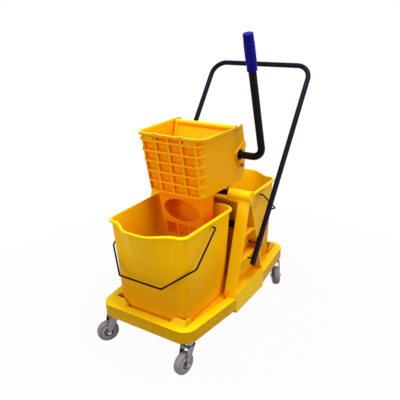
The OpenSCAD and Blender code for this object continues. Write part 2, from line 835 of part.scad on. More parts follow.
rear_cut_hw = hop_x(rear_line[4][1], hop_z1) - 3 * hop_t;

// One rib row: a band across the front that thins out round both corners
module rib_row(z) {
    y0 = hop_front(z);
    w = hop_x(y0, z);
    d = rib_d + rib_corner;
    in_w = w - rib_root;
    in_r = hop_r - rib_root;
    back_w = in_w + hop_plan * rib_back;
    tip_y = y0 + hop_r + rib_tip;
    tip_w = w - rib_end_r;
    inner = rounded([[-in_w, y0 + rib_root, in_r], [in_w, y0 + rib_root, in_r],
        [back_w, y0 + rib_back, rib_end_r], [-back_w, y0 + rib_back, rib_end_r]]);
    outer = rounded([[-w - d, y0 - rib_d, hop_r], [w + d, y0 - rib_d, hop_r],
        [tip_w, tip_y, rib_end_r], [-tip_w, tip_y, rib_end_r]]);
    translate([0, 0, z - rib_w / 2])
        linear_extrude(rib_w)
            difference() {
                polygon(outer);
                polygon(inner);
            }
}
function corner_back(x, w, r) =
    let (d = max(0, abs(x) - (w - r)))
    r - sqrt(max(0, r * r - d * d));
function hop_face(x, z) =
    let (y = hop_front(z))
    y + corner_back(x, hop_x(y, z), hop_r);
function rib_face(x, z) =
    let (y = hop_front(z), d = rib_d + rib_corner)
    y - rib_d + corner_back(x, hop_x(y, z) + d, hop_r + d);
function column_ring(x, z) =
    let (x0 = x - rib_w / 2, x1 = x + rib_w / 2, root = hop_t / 2)
    [[x0, rib_face(x0, z), z], [x1, rib_face(x1, z), z],
        [x1, hop_face(x1, z) + root, z], [x0, hop_face(x0, z) + root, z]];
module rib_column(x) {
    h = hop_rim_z + over - rib_low_z;
    skin([for (i = [0 : column_n]) column_ring(x, rib_low_z + h * i / column_n)]);
}
module front_pad() {
    translate([pad_x - pad_w / 2, hop_front(pad_z) - pad_d, pad_z])
        cube([pad_w, pad_d + hop_t / 4, pad_h]);
    translate([nib_x - nib_w / 2, hop_front(hop_z1) - hop_rim_w + over, hop_z1 - over])
        cube([nib_w, hop_rim_w - over, nib_h + over]);
}
module hopper_hook() {
    x = hop_x(0, hop_z0) - hook_t - over;
    y = up_tube_r + hook_play;
    z0 = boss_z - saddle_low;
    z1 = hop_z0 + hop_t / 2;
    along_x_profile(x, x + hook_t)
        polygon([[y, hook_top_z], [y, boss_z - over], [hook_tail_y, boss_z - over], [hook_root_y, hook_top_z]]);
    along_x_profile(saddle_x, saddle_x + saddle_w)
        polygon([[-saddle_hd, z0], [saddle_hd, z0], [saddle_hd, z1], [-saddle_hd, z1]]);
}
// Rail on a side wall behind the press plate, on which the plate's edge leans back
function rail_end(s) =
    let (y = s * sin(plate_lean) - hinge_y, z = s * cos(plate_lean) + hinge_z)
    let (y0 = y + (plate_t / 2 + gap) / cos(plate_lean), x1 = hop_x(y0, z) - hop_t / 2)
    let (x0 = hop_x(y0, z) - hop_t - rest_in)
    [[x0, y0, z], [x1, y0, z], [x1, y0 + rest_w, z], [x0, y0 + rest_w, z]];
module rest_rail() {
    skin([rail_end(rest_s0), rail_end(rest_s1)]);
}
module wringer_hopper() {
    color("gold")
        difference() {
            union() {
                sleeve(concat(
                    [for (z = concat(hop_levels, hop_rim_z)) hop_ring(z, 0, 0)],
                    [for (z = [hop_rim_z, hop_z1]) hop_ring(z, -hop_rim_w, -hop_rim_end)],
                    [hop_ring(hop_z1, 0, 0), hop_ring(hop_z1 - hop_ease, hop_t, hop_t)],
                    [for (i = [3 : -1 : 0]) hop_ring(hop_levels[i], hop_t, hop_t)]));
                skin([for (z = [hop_z0, hop_z0 + hop_floor_t]) hop_ring(z, hop_t / 2, hop_t / 2)]);
                for (i = [0 : rib_rows - 1])
                    rib_row(rib_low_z + (rib_top_z - rib_low_z) * i / (rib_rows - 1));
                for (i = [0 : rib_cols - 1])
                    rib_column((i - (rib_cols - 1) / 2) * rib_pitch);
                both_sides() {
                    along_x(bearing_in, bearing_out, shaft_y, shaft_z, bearing_r);
                    along_x_profile(bearing_out - 4 * boss_step, bearing_out - boss_step / 2)
                        polygon([boss_mid + bearing_r * [-0.7, 0.7], boss_mid + bearing_r * [0.9, 0.4],
                            brace_end(0), brace_end(1)]);
                    hopper_hook();
                    front_pad();
                }
                along_x(bearing_in, bearing_out - boss_step, stop_y, stop_z, stop_boss_r);
                along_x_profile(bearing_in, bearing_out - boss_step - over)
                    polygon([boss_mid + web_side, boss_mid - web_side,
                        stop_mid - stop_side, stop_mid + stop_side]);
                both_sides()
                    rest_rail();
            }
            both_sides() {
                along_x(bearing_in - bearing_cut, bearing_out + bearing_cut, shaft_y, shaft_z,
                    bush_r + seat);
                along_x(rod_half - bearing_cut, rod_half, -hinge_y, hinge_z, rod_r + seat);
            }
            along_x(bearing_in - bearing_cut, bearing_out + bearing_cut, stop_y, stop_z, stop_r + seat);
            along_x(-saddle_end, saddle_end, 0, boss_z, up_tube_r + gap);
            translate([-saddle_end, -up_tube_r - gap, boss_z - 2 * saddle_low])
                cube([2 * saddle_end, 2 * (up_tube_r + gap), 2 * saddle_low]);
            for (i = [-drain_n : drain_n])
                translate([i * drain_pitch - drain_w / 2, drain_y, hop_z0 - over])
                    cube([drain_w, drain_l, hop_floor_t + 2 * over]);
            translate([-rear_cut_hw, rear_line[4][1] - 2 * hop_rim_w, hop_z1 - rear_cut])
                cube([2 * rear_cut_hw, 4 * hop_rim_w, 2 * rear_cut]);
        }
}

// Skirt that hangs from the hopper into the front bucket
skirt_rear = 42;
skirt_low_rear = 54;
skirt_r = 10;
function skirt_ring(z, inset) =
    let (k = (hop_z0 - z) / (hop_z0 - skirt_z0))
    let (w = skirt_hw + (skirt_low_hw - skirt_hw) * k - inset)
    let (y0 = -skirt_front + (skirt_front - skirt_low_front) * k + inset)
    let (y1 = -skirt_rear - (skirt_low_rear - skirt_rear) * k - inset)
    let (r = skirt_r - inset)
    lifted(rounded([[-w, y0, r], [w, y0, r], [w, y1, r], [-w, y1, r]]), z);
oval_z = 440;
oval_hw = 70;
oval_hh = 41;
oval_n = 40;
oval_cut = 20;
oval_pts = [for (i = [0 : oval_n - 1]) let (a = 360 * i / oval_n) [oval_hw * cos(a), oval_hh * sin(a)]];
grid_pitch = 48;
grid_w = 40;
grid_z0 = 338;
grid_h = 46;
module wringer_skirt() {
    color("goldenrod")
        difference() {
            sleeve([skirt_ring(skirt_z0, 0), skirt_ring(hop_z0, 0),
                skirt_ring(hop_z0, skirt_t), skirt_ring(skirt_z0, skirt_t)]);
            translate([0, oval_cut - skirt_low_front, oval_z])
                rotate([90, 0, 0])
                    linear_extrude(3 * oval_cut)
                        polygon(oval_pts);
            for (i = [-1 : 1])
                translate([i * grid_pitch - grid_w / 2, -skirt_front, grid_z0])
                    cube([grid_w, 2 * (skirt_front - skirt_low_front), grid_h]);
        }
}
bush_lip = 2.5;
module lever_bushes() {
    color("dimgray")
        both_sides()
            difference() {
                union() {
                    along_x(bearing_in, bearing_out, shaft_y, shaft_z, bush_r);
                    along_x(bearing_out, bearing_out + bush_lip, shaft_y, shaft_z, bush_r + bush_lip);
                }
                along_x(bearing_in - over, bearing_out + bush_lip + over, shaft_y, shaft_z, lever_r + run);
            }
}
crank_x = 94;
crank_t = 8;
stop_reach = 12;
stop_head_h = 5;
module stop_bolt() {
    x = bearing_out - boss_step;
    color("black") {
        along_x(crank_x - stop_reach, x, stop_y, stop_z, stop_r);
        hex_x(x, x + stop_head_h, stop_y, stop_z, 2 * stop_r);
    }
}
module hinge_rod() {
    color("silver")
        along_x(-rod_half, rod_half, -hinge_y, hinge_z, rod_r);
}

// Press plate, drawn upright at its hinge and then leaned back
barrel_t = 4;
barrel_r = rod_r + barrel_t;
plate_low_hw = 96;
plate_top_hw = 118;
top_bar_r = 11;
border_w = 11;
border_d = 5;
lug_x = 76;
lug_t = 8;
slot_perp = 71.1;
slot_slack = 2.1;
slot_lo = 56.5;
slot_wall = 5;
lug_end = slot_perp + pin_r + slot_slack + gap + slot_wall;
lug_root = 30;
lug_play = 2.5;
lug_reach = norm([shaft_y + hinge_y, shaft_z - hinge_z]) - lever_r - lug_play;
plate_slot = [12, 22];
module on_plate() {
    translate([0, -hinge_y, hinge_z])
        rotate([-plate_lean, 0, 0])
            children();
}
module press_plate() {
    slot_half = pin_r + slot_slack / 2 + gap;
    lug_low = slot_lo - slot_half - slot_wall + over;
    color("gold")
        on_plate()
            difference() {
                union() {
                    rotate([90, 0, 0])
                        translate([0, 0, -plate_t / 2])
                            linear_extrude(plate_t)
                                polygon([[-plate_low_hw, 0], [plate_low_hw, 0], [plate_top_hw, plate_l],
                                    [-plate_top_hw, plate_l]]);
                    both_sides()
                        rotate([90, 0, 0])
                            linear_extrude(plate_t / 2 + border_d)
                                polygon([[plate_low_hw - border_w, 0], [plate_low_hw, 0],
                                    [plate_top_hw, plate_l], [plate_top_hw - border_w, plate_l]]);
                    along_x(-plate_low_hw, plate_low_hw, 0, 0, barrel_r);
                    along_x(-plate_top_hw, plate_top_hw, 0, plate_l, top_bar_r);
                    both_sides()
                        intersection() {
                            along_x_profile(lug_x - lug_t / 2, lug_x + lug_t / 2)
                                polygon([[0, lug_root], [lug_end, lug_low],
                                    [lug_end, lug_reach], [0, lug_reach]]);
                            along_x(0, 2 * lug_x, 0, 0, lug_reach);
                        }
                }
                along_x(-plate_low_hw - over, plate_low_hw + over, 0, 0, rod_r + run);
                both_sides()
                    translate([lug_x - lug_t, slot_perp - slot_half, slot_lo - pin_r - gap])
                        cube([2 * lug_t, 2 * slot_half, lug_reach]);
                for (i = [-2 : 2], j = [0 : 1])
                    translate([(2 * i - 0.5) * plate_slot[0], -plate_t, 1.5 * (1 + j) * plate_slot[1]])
                        cube([plate_slot[0], 2 * plate_t, plate_slot[1]]);
            }
}

// Lever: one tube bent from the shaft across the hopper to the upright
lever_end_x = 124;
lever_wall = 2 * tube_wall;
grip_cap = 6;
lever_pts = [[-lever_end_x, 0], [lever_x, 0], [lever_x, lever_l - grip_cap]];
module on_lever() {
    translate([0, shaft_y, shaft_z])
        rotate([90 + lever_lean, 0, 0])
            children();
}
module lever_tube() {
    color("black")
        on_lever()
            difference() {
                bent_bar(lever_pts, [lever_bend], lever_r);
                bent_bar(lever_pts, [lever_bend], lever_r - lever_wall);
            }
}
knurl_low = 24;
knurl_high = 26;
grip_round = 2.5;
grip_round_n = 3;
function grip_dome(i) =
    let (a = 90 * i / grip_round_n)
    [grip_r - grip_round + grip_round * cos(a), lever_l - grip_round + grip_round * sin(a)];
module lever_grip() {
    z0 = lever_l - grip_l;
    z1 = z0 + knurl_low;
    z2 = lever_l - knurl_high;
    z3 = lever_l - grip_cap;
    color("mediumblue")
        on_lever()
            translate([lever_x, 0, 0])
                rotate([-90, 0, 0])
                    rotate_extrude()
                        polygon(concat(
                            [[0, z3], [lever_r + seat, z3], [lever_r + seat, z0], [grip_r, z0]],
                            [[grip_r, z1], [knurl_r, z1 + knurl_step]],
                            [[knurl_r, z2 - knurl_step], [grip_r, z2]],
                            [for (i = [0 : grip_round_n]) grip_dome(i)],
                            [[0, lever_l]]));
}
module on_crank() {
    translate([0, shaft_y, shaft_z])
        rotate([crank_a, 0, 0])
            children();
}
crank_waist = crank_hub_r - 3;
pin_step = 1;
pin_tip = 4;
module crank_arms() {
    x0 = crank_x - crank_t / 2;
    x1 = crank_x + crank_t / 2;
    color("dimgray")
        on_crank()
            both_sides()
                difference() {
                    union() {
                        along_x(x0, x1, 0, 0, crank_hub_r);
                        along_x(x0, x1, 0, -crank_l, crank_end_r);
                        along_x_profile(x0, x1)
                            polygon([[-crank_waist, 0], [-crank_hw, -crank_l],
                                [crank_hw, -crank_l], [crank_waist, 0]]);
                    }
                    along_x(0, 2 * crank_x, 0, 0, lever_r + seat);
                    along_x(0, 2 * crank_x, 0, -crank_l, pin_r - pin_step);
                }
}
module crank_pins() {
    x0 = crank_x - crank_t / 2;
    x1 = crank_x + crank_t / 2;
    color("silver")
        on_crank()
            both_sides() {
                along_x(lug_x - lug_t / 2 - pin_tip, x0, 0, -crank_l, pin_r);
                along_x(x0, x1 + pin_step, 0, -crank_l, pin_r - pin_step - seat);
            }
}

// Casters, drawn at their swivel axis with the wheel trailing towards +X
race_r = 17;
race_low = 100.4;
fork_top = race_low - gap;
crown_z = 92;
crown_t = 3;
crown_r = 20.5;
king_head_r = 9;
king_head_h = 5.5;
leg_in = 14.6;
leg_t = 2.5;
axle_r = 4;
leg_out = leg_in + leg_t;
fork_back = 14;
fork_fore = 21;
fork_eye_r = 9;
fork_waist = 7.5;
hub_r = 24;
hub_hw = 13;
hub_step = 3;
guard_t = 1.1;
guard_inset = 7;
guard_edge = 7.5;
axle_head = 5;
axle_hex_r = 6.5;
axle_tip = 2;
race_lip = 4;
race_lip_h = 2.5;
module at_caster(c) {
    translate([c[0] * caster_x, c[1] * caster_y, 0])
        rotate(c[2])
            children();
}
module at_wheel(c) {
    at_caster(c)
        translate([trail, 0, wheel_r])
            rotate([90, 0, 0])
                children();
}
module caster_stems() {
    color("silver")
        for (c = casters)
            at_caster(c) {
                translate([0, 0, crown_z - gap])
                    cylinder(r = stem_r, h = stem_top_z - crown_z + gap);
                translate([0, 0, crown_z - gap - king_head_h])
                    cylinder(r = king_head_r, h = king_head_h);
            }
}
module caster_races() {
    color("silver")
        for (c = casters)
            at_caster(c)
                difference() {
                    union() {
                        translate([0, 0, race_low])
                            cylinder(r = race_r, h = tray_z0 - race_low);
                        translate([0, 0, tray_z0 - race_lip_h])
                            cylinder(r = race_r + race_lip, h = race_lip_h);
                    }
                    translate([0, 0, race_low - over])
                        cylinder(r = stem_r + seat, h = tray_z0);
                }
}
module fork(c) {
    top = crown_z + crown_t;
    color("silver")
        at_caster(c)
            difference() {
                union() {
                    translate([0, 0, crown_z])
                        cylinder(r = crown_r, h = crown_t);
                    translate([0, 0, top - over])
                        cylinder(r = race_r - over, h = fork_top - top + over);
                    translate([-fork_back, -leg_out, crown_z])
                        cube([fork_back + fork_fore, 2 * leg_out, crown_t]);
                    for (s = [-1, 1])
                        translate([0, s * (leg_in + leg_t / 2), 0])
                            rotate([90, 0, 0])
                                translate([0, 0, -leg_t / 2])
                                    linear_extrude(leg_t) {
                                        polygon([[-fork_back, top], [trail - fork_waist, wheel_r],
                                            [trail + fork_waist, wheel_r], [fork_fore, top]]);
                                        translate([trail, wheel_r])
                                            circle(r = fork_eye_r);
                                    }
                }
                translate([0, 0, crown_z - over])
                    cylinder(r = stem_r + run, h = fork_top);
                translate([trail, leg_out + over, wheel_r])
                    rotate([90, 0, 0])
                        cylinder(r = axle_r + seat, h = 2 * (leg_out + over));
            }
}
module axle_bolt(c) {
    color("silver")
        at_wheel(c) {
            translate([0, 0, -leg_out - axle_head - axle_tip])
                cylinder(r = axle_r, h = 2 * leg_out + axle_head + axle_tip);
            translate([0, 0, leg_out])
                cylinder(r = axle_hex_r, h = axle_head, $fn = 6);
        }
}
module axle_nut(c) {
    color("silver")
        at_wheel(c)
            translate([0, 0, -leg_out - axle_head])
                difference() {
                    cylinder(r = axle_hex_r, h = axle_head, $fn = 6);
                    translate([0, 0, -over])
                        cylinder(r = axle_r + seat, h = axle_head + 2 * over);
                }
}
module tyre(c) {
    color("gray")
        at_wheel(c)
            rotate_extrude()
                polygon(concat([[hub_r, tyre_hw]], tyre_half,
                    [for (i = [2 : -1 : 0]) [tyre_half[i][0], -tyre_half[i][1]]], [[hub_r, -tyre_hw]]));
}
module hub(c) {
    color("lightgray")
        at_wheel(c)
            rotate_extrude()
                polygon([[axle_r + run, -hub_hw], [hub_r - hub_step, -hub_hw], [hub_r, over - tyre_hw],
                    [hub_r, tyre_hw - over], [hub_r - hub_step, hub_hw], [axle_r + run, hub_hw]]);
}
module guards(c) {
    color("navy")
        at_wheel(c)
            for (s = [-1, 1])
                translate([0, 0, s * (hub_hw + guard_t / 2)])
                    difference() {
                        cylinder(r = hub_r - guard_edge, h = guard_t, center = true);
                        cylinder(r = axle_r + guard_inset, h = 2 * guard_t, center = true);
                    }
}

place() front_tray();
place() rear_tray();
place() frame_screws();
place() side_stand_left();
place() side_stand_right();
place() boss_caps();
place() upper_cross_tube();
place() lower_cross_tube();
place() push_handle();
place() handle_bolts();
place() handle_nuts();
place() handle_plugs();
place() caster_stems();
place() caster_races();
place() front_bucket();
place() front_bail();
place() rear_bucket();
place() rear_bail();
place() wringer_hopper();
place() wringer_skirt();
place() lever_bushes();
place() stop_bolt();
place() hinge_rod();
place() press_plate();
place() lever_tube();
place() lever_grip();
place() crank_arms();
place() crank_pins();
place() fork(caster_fl);  // fork_fl
place() axle_bolt(caster_fl);  // axle_bolt_fl
place() axle_nut(caster_fl);  // axle_nut_fl
place() tyre(caster_fl);  // tyre_fl
place() hub(caster_fl);  // hub_fl
place() guards(caster_fl);  // guards_fl
place() fork(caster_fr);  // fork_fr
place() axle_bolt(caster_fr);  // axle_bolt_fr
place() axle_nut(caster_fr);  // axle_nut_fr
place() tyre(caster_fr);  // tyre_fr
place() hub(caster_fr);  // hub_fr
place() guards(caster_fr);  // guards_fr
place() fork(caster_rl);  // fork_rl
place() axle_bolt(caster_rl);  // axle_bolt_rl
place() axle_nut(caster_rl);  // axle_nut_rl
place() tyre(caster_rl);  // tyre_rl
place() hub(caster_rl);  // hub_rl
place() guards(caster_rl);  // guards_rl
place() fork(caster_rr);  // fork_rr
place() axle_bolt(caster_rr);  // axle_bolt_rr
place() axle_nut(caster_rr);  // axle_nut_rr
place() tyre(caster_rr);  // tyre_rr
place() hub(caster_rr);  // hub_rr
place() guards(caster_rr);  // guards_rr
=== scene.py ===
import json
from math import cos, pi, radians, sin, tan

import bmesh
import bpy
from mathutils import Matrix, Vector


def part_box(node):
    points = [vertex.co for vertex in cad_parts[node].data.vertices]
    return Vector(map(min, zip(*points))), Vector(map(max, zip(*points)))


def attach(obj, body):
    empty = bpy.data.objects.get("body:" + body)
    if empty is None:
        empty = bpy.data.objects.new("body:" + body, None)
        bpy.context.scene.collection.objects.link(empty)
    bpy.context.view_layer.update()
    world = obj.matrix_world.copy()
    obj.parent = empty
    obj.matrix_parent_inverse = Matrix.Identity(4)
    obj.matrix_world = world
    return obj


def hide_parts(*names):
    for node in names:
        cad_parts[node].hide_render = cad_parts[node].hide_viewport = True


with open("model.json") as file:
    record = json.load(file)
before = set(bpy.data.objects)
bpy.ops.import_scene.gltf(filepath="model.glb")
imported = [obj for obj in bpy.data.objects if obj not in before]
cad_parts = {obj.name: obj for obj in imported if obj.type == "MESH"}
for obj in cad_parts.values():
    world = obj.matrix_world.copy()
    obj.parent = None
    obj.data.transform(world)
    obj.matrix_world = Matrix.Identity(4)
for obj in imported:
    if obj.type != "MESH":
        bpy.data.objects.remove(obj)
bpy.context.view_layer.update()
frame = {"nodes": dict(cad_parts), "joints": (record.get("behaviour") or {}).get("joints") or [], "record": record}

# The box of the solids, and the point between the stands from which the sizes below are measured
MM = 0.001
tube_lo, tube_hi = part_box("upper_cross_tube")
STAND_MIDDLE = Vector(((tube_lo.x + tube_hi.x) / 2, (tube_lo.y + tube_hi.y) / 2, 0))
CASTERS = ("fl", "fr", "rl", "rr")


# Camera, floor and light

CAMERA_AZIMUTH = radians(33.04)
CAMERA_ELEVATION = radians(21.27)
CAMERA_ROLL = radians(-1.21)
CAMERA_DISTANCE = 1.7306
CAMERA_AIM = STAND_MIDDLE + Vector((0, 0, 0.4374))
IMAGE_SIDE = 400
FOCAL_PIXELS = 489.3
SENSOR_WIDTH = 36
WORLD_LIGHT = 0.46
FLOOR_HALF = 9.0
FLOOR_GREY = 0.22
FLOOR_ROUGHNESS = 0.9
FLOOR_WHITE_NEAR = 0.97
FLOOR_WHITE_FROM = 0.45
FLOOR_WHITE_TO = 1.2


def make_camera():
    back = Vector((
        sin(CAMERA_AZIMUTH) * cos(CAMERA_ELEVATION),
        -cos(CAMERA_AZIMUTH) * cos(CAMERA_ELEVATION),
        sin(CAMERA_ELEVATION)))
    level = Vector((0, 0, 1)).cross(back).normalized()
    upright = back.cross(level)
    right = level * cos(CAMERA_ROLL) + upright * sin(CAMERA_ROLL)
    up = upright * cos(CAMERA_ROLL) - level * sin(CAMERA_ROLL)
    data = bpy.data.cameras.new("camera")
    data.sensor_width = SENSOR_WIDTH
    data.lens = data.sensor_width * FOCAL_PIXELS / IMAGE_SIDE
    camera = bpy.data.objects.new("camera", data)
    axes = Matrix((right, up, back)).transposed().to_4x4()
    camera.matrix_world = Matrix.Translation(CAMERA_AIM + back * CAMERA_DISTANCE) @ axes
    bpy.context.scene.collection.objects.link(camera)
    bpy.context.scene.camera = camera


def make_lamp(name, place, aim, size, power):
    data = bpy.data.lights.new(name, "AREA")
    data.shape = "RECTANGLE"
    data.size, data.size_y = size
    data.energy = power
    lamp = bpy.data.objects.new(name, data)
    lamp.location = place
    lamp.rotation_euler = (Vector(aim) - Vector(place)).to_track_quat("-Z", "Y").to_euler()
    bpy.context.scene.collection.objects.link(lamp)


def seen_directly(tree):
    """One where the camera, a mirror or clear glass sees the surface, and nought elsewhere."""
    rays = tree.nodes.new("ShaderNodeLightPath")
    total = rays.outputs["Is Camera Ray"]
    for name in ("Is Glossy Ray", "Is Transmission Ray"):
        step = tree.nodes.new("ShaderNodeMath")
        step.operation = "MAXIMUM"
        tree.links.new(total, step.inputs[0])
        tree.links.new(rays.outputs[name], step.inputs[1])
        total = step.outputs[0]
    return total


def make_world():
    world = bpy.data.worlds.new("studio")
    world.use_nodes = True
    tree = world.node_tree
    background = tree.nodes["Background"]
    background.inputs["Color"].default_value = (1, 1, 1, 1)
    strength = tree.nodes.new("ShaderNodeMapRange")
    strength.inputs["To Min"].default_value = WORLD_LIGHT
    strength.inputs["To Max"].default_value = 1.0
    tree.links.new(seen_directly(tree), strength.inputs["Value"])
    tree.links.new(strength.outputs["Result"], background.inputs["Strength"])
    bpy.context.scene.world = world


def make_floor():
    material = bpy.data.materials.new("studio_floor")
    material.use_nodes = True
    tree = material.node_tree
    shader = tree.nodes["Principled BSDF"]
    shader.inputs["Base Color"].default_value = (FLOOR_GREY, FLOOR_GREY, FLOOR_GREY, 1)
    shader.inputs["Roughness"].default_value = FLOOR_ROUGHNESS
    white = tree.nodes.new("ShaderNodeEmission")
    place = tree.nodes.new("ShaderNodeTexCoord")
    away = tree.nodes.new("ShaderNodeVectorMath")
    away.operation = "LENGTH"
    tree.links.new(place.outputs["Object"], away.inputs[0])
    fade = tree.nodes.new("ShaderNodeMapRange")
    fade.inputs["From Min"].default_value = FLOOR_WHITE_FROM
    fade.inputs["From Max"].default_value = FLOOR_WHITE_TO
    fade.inputs["To Min"].default_value = FLOOR_WHITE_NEAR
    fade.inputs["To Max"].default_value = 1.0
    tree.links.new(away.outputs["Value"], fade.inputs["Value"])
    share = tree.nodes.new("ShaderNodeMath")
    share.operation = "MULTIPLY"
    tree.links.new(fade.outputs["Result"], share.inputs[1])
    tree.links.new(seen_directly(tree), share.inputs[0])
    mixed = tree.nodes.new("ShaderNodeMixShader")
    tree.links.new(share.outputs[0], mixed.inputs["Fac"])
    tree.links.new(shader.outputs["BSDF"], mixed.inputs[1])
    tree.links.new(white.outputs["Emission"], mixed.inputs[2])
    tree.links.new(mixed.outputs["Shader"], tree.nodes["Material Output"].inputs["Surface"])
    mesh = bpy.data.meshes.new("floor")
    corners = [(-1, -1), (1, -1), (1, 1), (-1, 1)]
    mesh.from_pydata([(x * FLOOR_HALF, y * FLOOR_HALF, 0) for x, y in corners], [], [(0, 1, 2, 3)])
    mesh.materials.append(material)
    floor = bpy.data.objects.new("floor", mesh)
    bpy.context.scene.collection.objects.link(floor)


make_camera()
make_world()
make_floor()
make_lamp("overhead", (0.45, -0.15, 2.7), (0, 0, 0.4), (1.4, 1.4), 51)
make_lamp("right", (2.4, -0.3, 1.1), (0, -0.1, 0.4), (1.2, 1.8), 18)
make_lamp("front", (-0.5, -2.1, 1.0), (0, -0.1, 0.4), (1.0, 1.2), 14.5)
bpy.context.scene.view_settings.view_transform = "Standard"


# Materials

SHADE_SAMPLES = 6


class Finish:
    """The node tree of one material, with a short call for each kind of node."""

    def __init__(self, name, metallic=0.0, specular=0.5):
        self.material = bpy.data.materials.new(name)
        self.material.use_nodes = True
        self.tree = self.material.node_tree
        self.shader = self.tree.nodes["Principled BSDF"]
        self.shader.inputs["Metallic"].default_value = metallic
        self.shader.inputs["Specular IOR Level"].default_value = specular
        coordinates = self.node("ShaderNodeTexCoord")
        self.place = coordinates.outputs["Object"]
        self.at = self.node("ShaderNodeSeparateXYZ", {0: self.place}).outputs
        self.facing = self.node("ShaderNodeSeparateXYZ", {0: coordinates.outputs["Normal"]}).outputs

    def node(self, kind, inputs=None, **settings):
        node = self.tree.nodes.new(kind)
        for name, value in settings.items():
            setattr(node, name, value)
        for key, value in (inputs or {}).items():
            if isinstance(value, bpy.types.NodeSocket):
                self.tree.links.new(value, node.inputs[key])
            else:
                node.inputs[key].default_value = value
        return node

    def noise(self, scale, detail=3, stretch=(1, 1, 1)):
        place = self.node("ShaderNodeMapping", {"Vector": self.place, "Scale": stretch}).outputs["Vector"]
        inputs = {"Vector": place, "Scale": scale, "Detail": detail}
        return self.node("ShaderNodeTexNoise", inputs).outputs["Fac"]

    def ranged(self, value, low, high, to_low=0.0, to_high=1.0):
        inputs = {"Value": value, "From Min": low, "From Max": high, "To Min": to_low, "To Max": to_high}
        return self.node("ShaderNodeMapRange", inputs).outputs["Result"]

    def times(self, a, b):
        return self.node("ShaderNodeMath", {0: a, 1: b}, operation="MULTIPLY").outputs[0]

    def plus(self, a, b):
        return self.node("ShaderNodeMath", {0: a, 1: b}, operation="ADD").outputs[0]

    def mix(self, share, a, b):
        shades = [c if isinstance(c, bpy.types.NodeSocket) else (*c, 1) for c in (a, b)]
        inputs = {0: share, 6: shades[0], 7: shades[1]}
        return self.node("ShaderNodeMix", inputs, data_type="RGBA").outputs[2]

    def edges(self, low, high):
        point = self.node("ShaderNodeNewGeometry").outputs["Pointiness"]
        return self.ranged(point, low, high)

    def recess_shade(self, distance, low, high):
        shade = self.node("ShaderNodeAmbientOcclusion", {"Distance": distance}, samples=SHADE_SAMPLES)
        return self.ranged(shade.outputs["AO"], high, low)

    def apply(self, colour=None, roughness=None, bump=None):
        for name, value in (("Base Color", colour), ("Roughness", roughness), ("Normal", bump)):
            if value is not None:
                self.tree.links.new(value, self.shader.inputs[name])
        return self.material

    def bump(self, height, strength, distance):
        inputs = {"Height": height, "Strength": strength, "Distance": distance}
        return self.node("ShaderNodeBump", inputs).outputs["Normal"]


# How far the yellow plastic looks for the shade that is painted into its colour, the heights between which painted
# shade darkens a bucket's wall, and the places along the trolley between which the painted shade of the wringer's
# ribbed front begins
WIDE_SHADE, CELL_SHADE, FINE_SHADE = 0.14, 0.03, 0.02
LOW_SHADE_FROM_Z, LOW_SHADE_TO_Z = 0.36, 0.15
FRONT_FROM_Y, FRONT_TO_Y = -0.09, -0.13


def moulded_yellow(name, main, warm, hollow_shade, deep_shade, lit_tops_and_rubbed_edges, cell_orange_shade=None, low=None):
    """Satin moulded plastic: a slow drift of colour, a fine grain and lighter rubbed edges, with painted orange
    shade in hollows, cells and towards the floor, and painted light on the tops.
    """
    finish = Finish(name, specular=0.05)
    drift = finish.ranged(finish.noise(7, 2), 0.36, 0.64)
    scuffs = finish.ranged(finish.noise(36, 5, (1, 1, 7)), 0.60, 0.74)
    colour = finish.mix(drift, main, warm)
    # Painted shade: when low is given, the colour darkens towards the floor, where less light falls.
    if low:
        colour = finish.mix(finish.ranged(finish.at["Z"], LOW_SHADE_FROM_Z, LOW_SHADE_TO_Z), colour, low)
    # Painted light: surfaces that face up are lighter.
    colour = finish.mix(finish.ranged(finish.facing["Z"], 0.25, 0.8), colour, lit_tops_and_rubbed_edges)
    # Painted shade: the colour turns orange where nearby parts hide the light.
    colour = finish.mix(finish.recess_shade(WIDE_SHADE, 0.35, 0.8), colour, hollow_shade)
    colour = finish.mix(finish.recess_shade(WIDE_SHADE, 0.08, 0.4), colour, deep_shade)
    # Painted shade: the sunken cells of the wringer's ribbed front turn orange where little light gets in.
    if cell_orange_shade:
        forward = finish.ranged(finish.facing["Y"], -0.3, -0.8)
        ahead = finish.ranged(finish.at["Y"], FRONT_FROM_Y, FRONT_TO_Y)
        sunk_shade = finish.recess_shade(CELL_SHADE, 0.55, 0.93)
        colour = finish.mix(finish.times(finish.times(forward, ahead), sunk_shade), colour, cell_orange_shade)
    else:
        # Painted shade: small recesses get the deep orange.
        colour = finish.mix(finish.recess_shade(FINE_SHADE, 0.1, 0.6), colour, deep_shade)
    # Rubbed edges, which are wear, take the same lighter colour as the painted light on the tops.
    rubbed = finish.times(finish.edges(0.52, 0.60), finish.ranged(finish.noise(60, 4), 0.35, 0.65))
    colour = finish.mix(finish.times(rubbed, 0.25), colour, lit_tops_and_rubbed_edges)
    rough = finish.ranged(finish.noise(90, 4), 0.3, 0.7, 0.32, 0.44)
    rough = finish.plus(rough, finish.times(scuffs, 0.10))
    return finish.apply(colour, rough, finish.bump(finish.noise(420, 2), 0.10, 0.0004))


def coated_steel(name, main, dusty, rough_low, rough_high, grain, depth, gloss):
    """Painted steel: a faint orange peel, a trace of dust and brighter rubbed edges."""
    finish = Finish(name, specular=gloss)
    dust = finish.ranged(finish.noise(26, 5), 0.52, 0.78, 0.0, 0.6)
    colour = finish.mix(dust, main, dusty)
    colour = finish.mix(finish.times(finish.edges(0.54, 0.66), 0.5), colour, dusty)
    rough = finish.ranged(finish.noise(48, 4), 0.3, 0.7, rough_low, rough_high)
    return finish.apply(colour, rough, finish.bump(finish.noise(grain, 2), 0.1, depth))


